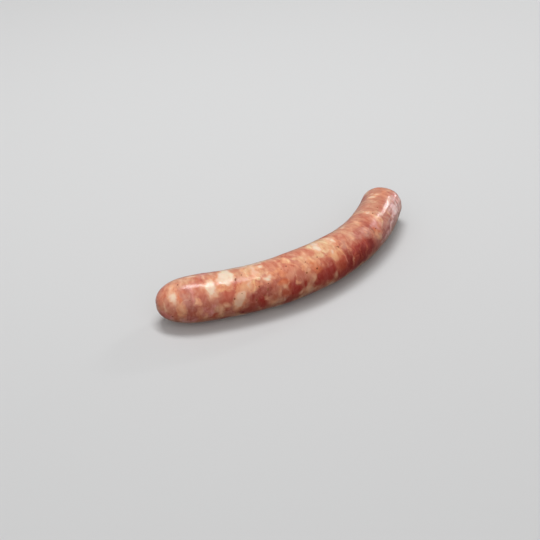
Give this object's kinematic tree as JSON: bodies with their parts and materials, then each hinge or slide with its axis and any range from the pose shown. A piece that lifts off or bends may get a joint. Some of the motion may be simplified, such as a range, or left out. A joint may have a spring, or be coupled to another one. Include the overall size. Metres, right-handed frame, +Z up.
{
  "type": "raw sausage link",
  "caption": "Raw coarse-ground sausage link in a natural casing, gently bent and lying on its side, to set on a board, plate, tray or pan.",
  "frame": {"origin": "under the middle of the link's box, on the surface that the link lies on", "axes": "+X along the straight line between the two ends, from the long rounded dome to the blunt end; +Y towards the hollow side of the bend; +Z up"},
  "size_m": [0.201, 0.0548, 0.0282],
  "materials": {
    "raw_sausage": "raw lean meat and fat in coarse pieces, seen through a wet, glossy, translucent natural casing"
  },
  "bodies": {
    "root": {"sausage_link": "raw_sausage"}
  },
  "joints": []
}
